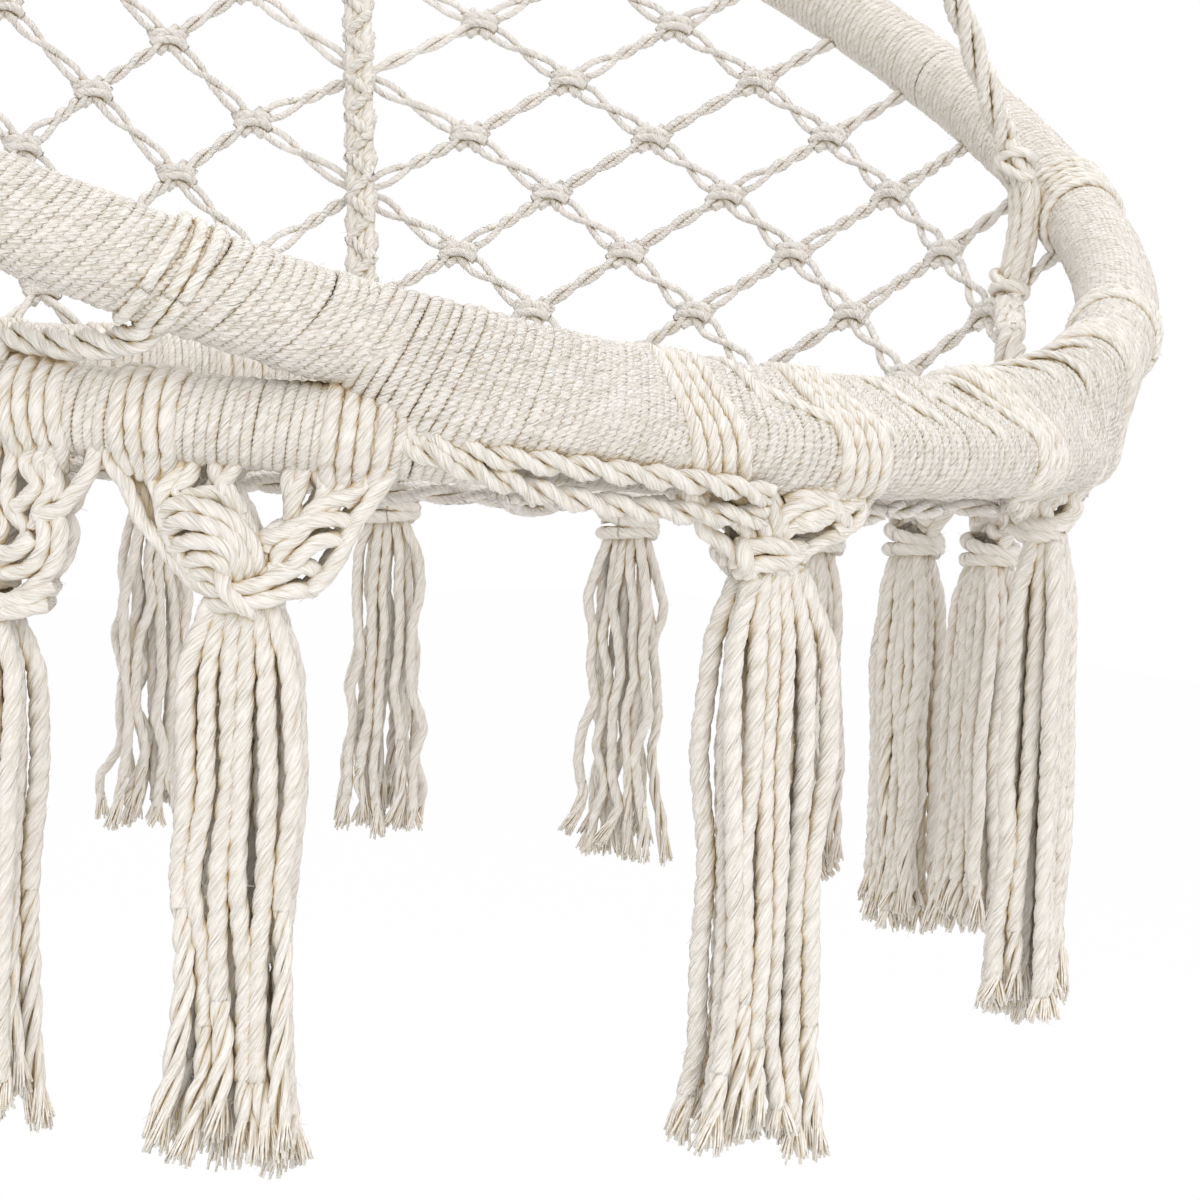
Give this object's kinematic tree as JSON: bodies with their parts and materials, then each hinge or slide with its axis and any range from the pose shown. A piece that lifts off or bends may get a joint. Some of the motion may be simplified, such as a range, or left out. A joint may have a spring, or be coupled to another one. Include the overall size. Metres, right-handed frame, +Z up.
{
  "type": "hammock chair",
  "caption": "Hanging net chair: two cord-wrapped steel rings lashed at the front, a knotted back and seat net, ropes to one steel ring, and a tassel fringe.",
  "frame": {"origin": "where a hook bears in the hanging ring: the inside of the ring at its top", "axes": "+Z up along the line of hanging, -Y towards the open front of the seat, +X to the right as seen from the front"},
  "size_m": [0.8334, 0.7742, 1.1871],
  "materials": {
    "ring_steel": "zinc-plated round bar, welded into a ring",
    "tube_steel": "bent round tube, hidden under the cord",
    "rope_cotton": "laid cotton rope, natural cream",
    "wrap_cotton": "cotton cord wound tightly round the rings",
    "net_cotton": "knotted net of twisted cotton cord",
    "knot_cotton": "knotted cotton cord",
    "fringe_cotton": "loose cut cords with frayed ends"
  },
  "bodies": {
    "hanging_ring": {"hanging_ring": "ring_steel"},
    "chair": {"back_ring_tube": "tube_steel", "seat_ring_tube": "tube_steel", "rope_crown": "rope_cotton", "suspension_rope_front_left": "rope_cotton", "suspension_rope_front_right": "rope_cotton", "suspension_rope_rear_left": "rope_cotton", "suspension_rope_rear_right": "rope_cotton", "seat_strap_front_left": "rope_cotton", "seat_strap_front_right": "rope_cotton", "seat_strap_rear_left": "rope_cotton", "seat_strap_rear_right": "rope_cotton", "net_edge_rope_left": "rope_cotton", "net_edge_rope_right": "rope_cotton", "back_ring_wrap": "wrap_cotton", "seat_ring_wrap": "wrap_cotton", "front_lashing": "wrap_cotton", "back_net_right_front": "net_cotton", "back_net_right_rear": "net_cotton", "back_net_middle_right": "net_cotton", "back_net_middle_left": "net_cotton", "back_net_left_rear": "net_cotton", "back_net_left_front": "net_cotton", "seat_net": "net_cotton", "tassel_knot_01": "knot_cotton", "tassel_knot_02": "knot_cotton", "tassel_knot_03": "knot_cotton", "tassel_knot_04": "knot_cotton", "tassel_knot_05": "knot_cotton", "tassel_knot_06": "knot_cotton", "tassel_knot_07": "knot_cotton", "tassel_knot_08": "knot_cotton", "tassel_knot_09": "knot_cotton", "tassel_knot_10": "knot_cotton", "tassel_knot_11": "knot_cotton", "tassel_knot_12": "knot_cotton", "tassel_knot_13": "knot_cotton", "tassel_knot_14": "knot_cotton", "tassel_knot_15": "knot_cotton"},
    "tassel_skirt_01": {"tassel_skirt_01": "fringe_cotton"},
    "tassel_skirt_02": {"tassel_skirt_02": "fringe_cotton"},
    "tassel_skirt_03": {"tassel_skirt_03": "fringe_cotton"},
    "tassel_skirt_04": {"tassel_skirt_04": "fringe_cotton"},
    "tassel_skirt_05": {"tassel_skirt_05": "fringe_cotton"},
    "tassel_skirt_06": {"tassel_skirt_06": "fringe_cotton"},
    "tassel_skirt_07": {"tassel_skirt_07": "fringe_cotton"},
    "tassel_skirt_08": {"tassel_skirt_08": "fringe_cotton"},
    "tassel_skirt_09": {"tassel_skirt_09": "fringe_cotton"},
    "tassel_skirt_10": {"tassel_skirt_10": "fringe_cotton"},
    "tassel_skirt_11": {"tassel_skirt_11": "fringe_cotton"},
    "tassel_skirt_12": {"tassel_skirt_12": "fringe_cotton"},
    "tassel_skirt_13": {"tassel_skirt_13": "fringe_cotton"},
    "tassel_skirt_14": {"tassel_skirt_14": "fringe_cotton"},
    "tassel_skirt_15": {"tassel_skirt_15": "fringe_cotton"}
  },
  "joints": [
    {"name": "swing", "type": "hinge", "parent": "hanging_ring", "child": "chair", "pos_m": [0, 0, -0.065], "axis": [1, 0, 0], "range_deg": [-20, 20]},
    {"name": "skirt_01_hang", "type": "hinge", "parent": "chair", "child": "tassel_skirt_01", "pos_m": [-0.05387, -0.35264, -0.976], "axis": [1, 0, 0], "range_deg": [-20, 20]},
    {"name": "skirt_02_hang", "type": "hinge", "parent": "chair", "child": "tassel_skirt_02", "pos_m": [0.13998, -0.31453, -0.97], "axis": [1, 0, 0], "range_deg": [-20, 20]},
    {"name": "skirt_03_hang", "type": "hinge", "parent": "chair", "child": "tassel_skirt_03", "pos_m": [0.2727, -0.17776, -0.988], "axis": [1, 0, 0], "range_deg": [-20, 20]},
    {"name": "skirt_04_hang", "type": "hinge", "parent": "chair", "child": "tassel_skirt_04", "pos_m": [0.29126, -0.11598, -0.99], "axis": [1, 0, 0], "range_deg": [-20, 20]},
    {"name": "skirt_05_hang", "type": "hinge", "parent": "chair", "child": "tassel_skirt_05", "pos_m": [0.29585, -0.04908, -0.996], "axis": [1, 0, 0], "range_deg": [-20, 20]},
    {"name": "skirt_06_hang", "type": "hinge", "parent": "chair", "child": "tassel_skirt_06", "pos_m": [0.27023, 0.0555, -1], "axis": [1, 0, 0], "range_deg": [-20, 20]},
    {"name": "skirt_07_hang", "type": "hinge", "parent": "chair", "child": "tassel_skirt_07", "pos_m": [0.19718, 0.15699, -1.002], "axis": [1, 0, 0], "range_deg": [-20, 20]},
    {"name": "skirt_08_hang", "type": "hinge", "parent": "chair", "child": "tassel_skirt_08", "pos_m": [0.09594, 0.21662, -0.996], "axis": [1, 0, 0], "range_deg": [-20, 20]},
    {"name": "skirt_09_hang", "type": "hinge", "parent": "chair", "child": "tassel_skirt_09", "pos_m": [-0.02056, 0.23196, -0.996], "axis": [1, 0, 0], "range_deg": [-20, 20]},
    {"name": "skirt_10_hang", "type": "hinge", "parent": "chair", "child": "tassel_skirt_10", "pos_m": [-0.13378, 0.20056, -0.994], "axis": [1, 0, 0], "range_deg": [-20, 20]},
    {"name": "skirt_11_hang", "type": "hinge", "parent": "chair", "child": "tassel_skirt_11", "pos_m": [-0.22239, 0.13132, -0.996], "axis": [1, 0, 0], "range_deg": [-20, 20]},
    {"name": "skirt_12_hang", "type": "hinge", "parent": "chair", "child": "tassel_skirt_12", "pos_m": [-0.2769, 0.03878, -0.992], "axis": [1, 0, 0], "range_deg": [-20, 20]},
    {"name": "skirt_13_hang", "type": "hinge", "parent": "chair", "child": "tassel_skirt_13", "pos_m": [-0.29463, -0.06714, -0.994], "axis": [1, 0, 0], "range_deg": [-20, 20]},
    {"name": "skirt_14_hang", "type": "hinge", "parent": "chair", "child": "tassel_skirt_14", "pos_m": [-0.26364, -0.19633, -0.992], "axis": [1, 0, 0], "range_deg": [-20, 20]},
    {"name": "skirt_15_hang", "type": "hinge", "parent": "chair", "child": "tassel_skirt_15", "pos_m": [-0.21018, -0.26854, -0.994], "axis": [1, 0, 0], "range_deg": [-20, 20]}
  ],
  "couplings": [
    {"joint": "skirt_01_hang", "follows": "swing", "ratio": -1},
    {"joint": "skirt_02_hang", "follows": "swing", "ratio": -1},
    {"joint": "skirt_03_hang", "follows": "swing", "ratio": -1},
    {"joint": "skirt_04_hang", "follows": "swing", "ratio": -1},
    {"joint": "skirt_05_hang", "follows": "swing", "ratio": -1},
    {"joint": "skirt_06_hang", "follows": "swing", "ratio": -1},
    {"joint": "skirt_07_hang", "follows": "swing", "ratio": -1},
    {"joint": "skirt_08_hang", "follows": "swing", "ratio": -1},
    {"joint": "skirt_09_hang", "follows": "swing", "ratio": -1},
    {"joint": "skirt_10_hang", "follows": "swing", "ratio": -1},
    {"joint": "skirt_11_hang", "follows": "swing", "ratio": -1},
    {"joint": "skirt_12_hang", "follows": "swing", "ratio": -1},
    {"joint": "skirt_13_hang", "follows": "swing", "ratio": -1},
    {"joint": "skirt_14_hang", "follows": "swing", "ratio": -1},
    {"joint": "skirt_15_hang", "follows": "swing", "ratio": -1}
  ]
}
